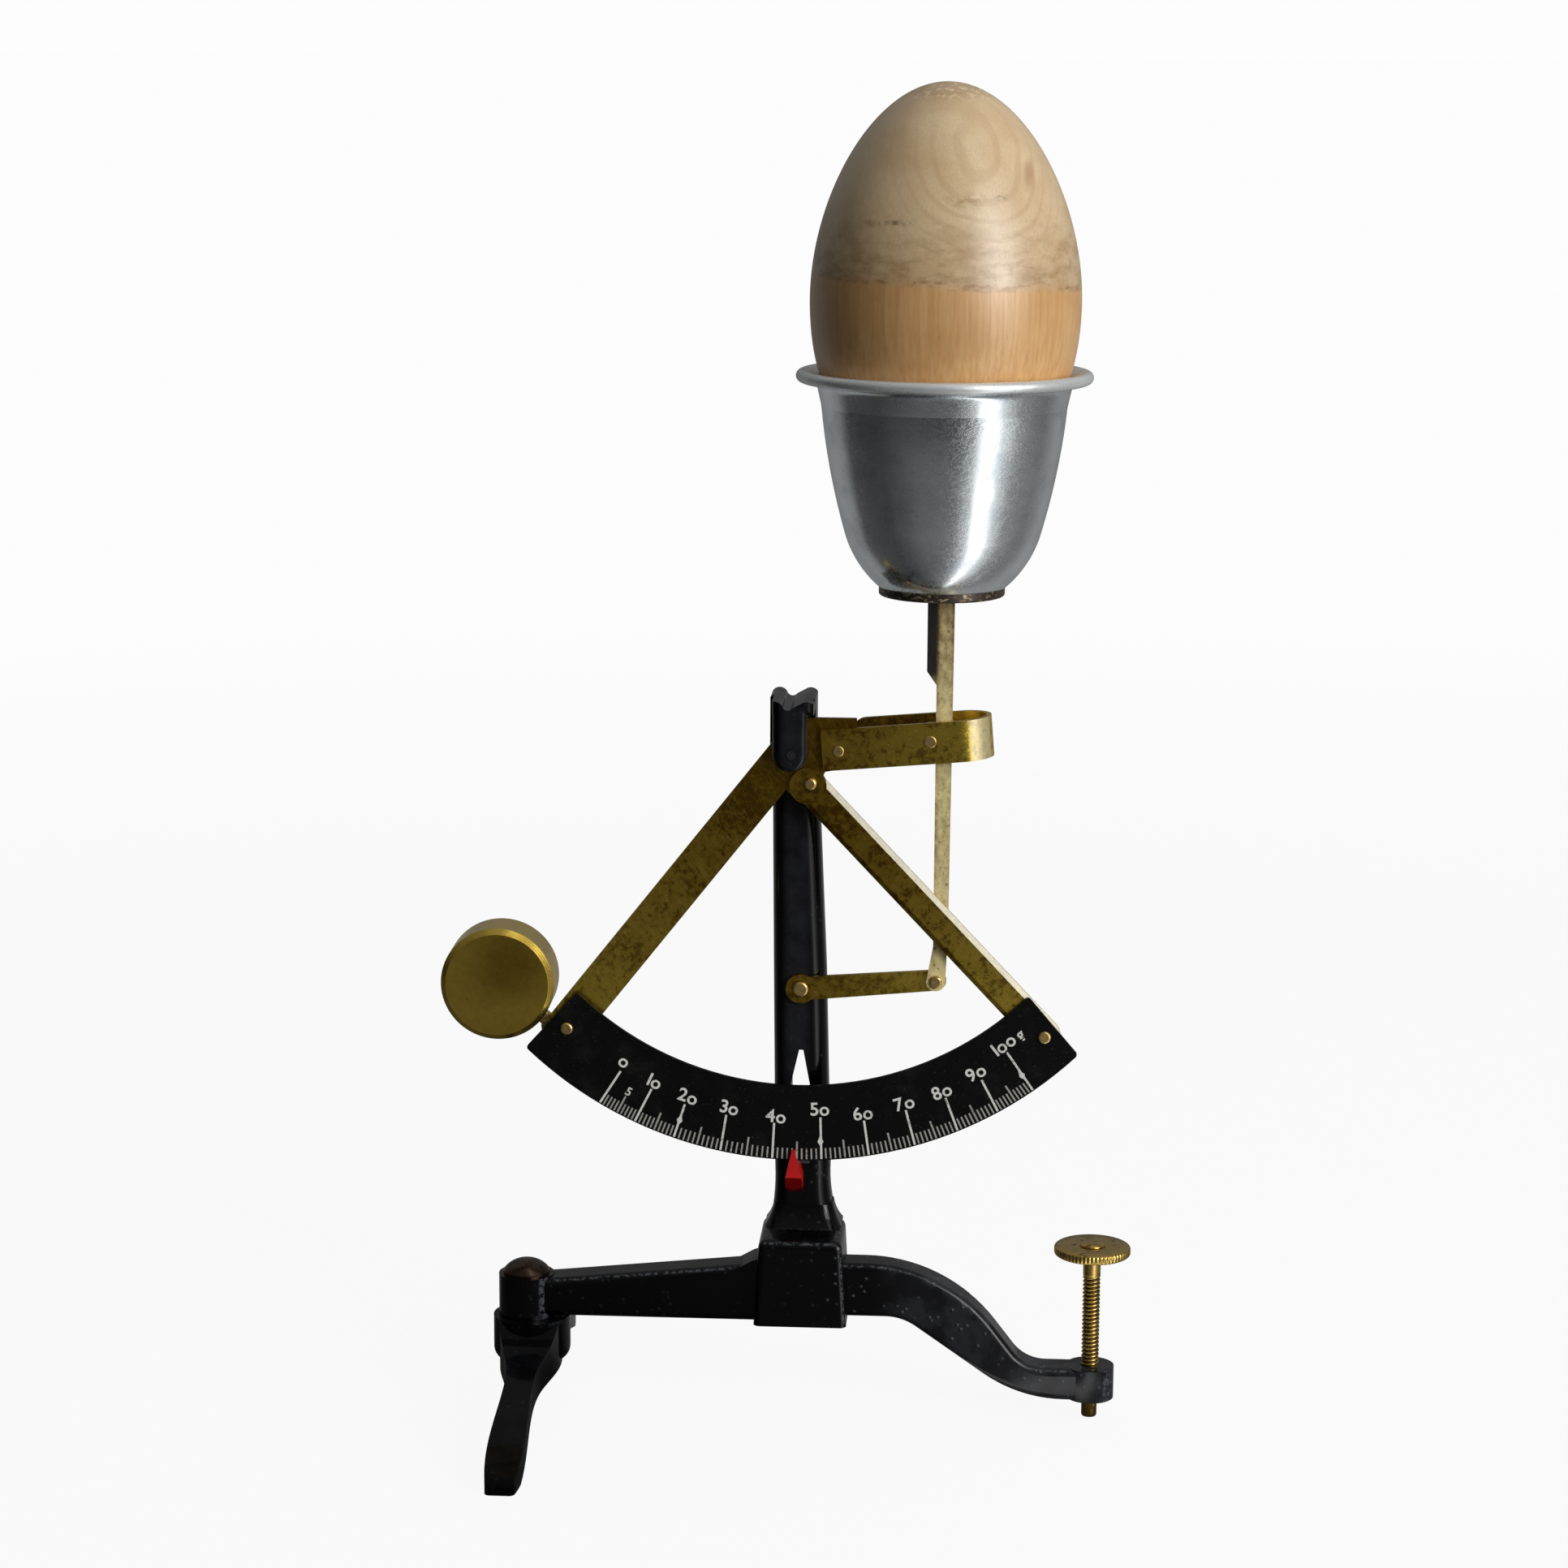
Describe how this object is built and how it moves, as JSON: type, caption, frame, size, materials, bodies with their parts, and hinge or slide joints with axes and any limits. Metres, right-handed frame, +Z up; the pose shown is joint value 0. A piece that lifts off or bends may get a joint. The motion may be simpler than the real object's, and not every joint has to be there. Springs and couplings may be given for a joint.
{
  "type": "egg scale",
  "caption": "Pendulum egg scale: an egg in a cup rides a parallelogram linkage, a counterweighted curved dial swings past a fixed pointer, on an iron stand with cross-foot and levelling screw.",
  "frame": {"origin": "centre of the bounding box in plan, on the table plane", "axes": "+X to the right along the front, towards the levelling screw; +Y to the back; +Z up"},
  "size_m": [0.1173, 0.088, 0.2254],
  "materials": {
    "black_enamel": "gloss black enamel over rough casting",
    "red_paint": "satin red paint",
    "rivet_brass": "worn brass",
    "bronze_rivet": "dark brown patina",
    "steel_screw": "tarnished steel",
    "steel_pin": "worn steel",
    "aged_brass": "aged brass with patina",
    "weight_brass": "aged turned brass",
    "dial_enamel": "black enamel with pale marks",
    "dark_disc": "dark brown",
    "spun_aluminium": "satin, scratched",
    "cup_rivet": "satin",
    "maple_wood": "satin varnished light wood"
  },
  "bodies": {
    "stand": {"base_casting": "black_enamel", "column": "black_enamel", "index_pointer": "red_paint", "link_rivet": "rivet_brass", "foot_rivet": "bronze_rivet"},
    "cross_foot": {"cross_foot": "black_enamel"},
    "levelling_screw": {"levelling_screw": "steel_screw", "thumb_wheel": "steel_screw"},
    "beam": {"left_arm": "aged_brass", "right_arm": "aged_brass", "fork": "aged_brass", "dial": "dial_enamel", "dial_spacer": "rivet_brass", "left_dial_rivet": "rivet_brass", "right_dial_rivet": "rivet_brass", "fork_rivet": "rivet_brass", "right_arm_rivet": "rivet_brass", "beam_axle": "steel_pin", "fork_pin": "rivet_brass", "counterweight": "weight_brass", "counterweight_stud": "rivet_brass"},
    "upright": {"upright": "aged_brass", "cup_disc": "dark_disc", "cup": "spun_aluminium", "cup_rivet": "cup_rivet", "link_pin": "rivet_brass"},
    "link": {"link": "aged_brass"},
    "egg": {"wooden_egg": "maple_wood"}
  },
  "joints": [
    {"name": "beam_tilt", "type": "hinge", "parent": "stand", "child": "beam", "pos_m": [0, 0.0022, 0.1159], "axis": [0, -1, 0], "range_deg": [-35, 29]},
    {"name": "upright_pivot", "type": "hinge", "parent": "beam", "child": "upright", "pos_m": [0.02282, 0.0022, 0.11782], "axis": [0, -1, 0], "range_deg": [-29, 35]},
    {"name": "link_pivot", "type": "hinge", "parent": "stand", "child": "link", "pos_m": [0.0014, 0.0022, 0.0745], "axis": [0, -1, 0], "range_deg": [-35, 29]},
    {"name": "foot_swivel", "type": "hinge", "parent": "stand", "child": "cross_foot", "pos_m": [-0.0455, 0, 0.012], "axis": [0, 0, 1], "range_deg": [-90, 90]},
    {"name": "level_adjust", "type": "slide", "parent": "stand", "child": "levelling_screw", "axis": [0, 0, 1], "range_m": [-0.004, 0.003]},
    {"name": "egg_lift", "type": "slide", "parent": "upright", "child": "egg", "axis": [0, 0, 1], "range_m": [0, 0.05]}
  ],
  "couplings": [
    {"joint": "upright_pivot", "follows": "beam_tilt", "ratio": -1},
    {"joint": "link_pivot", "follows": "beam_tilt", "ratio": 1}
  ]
}
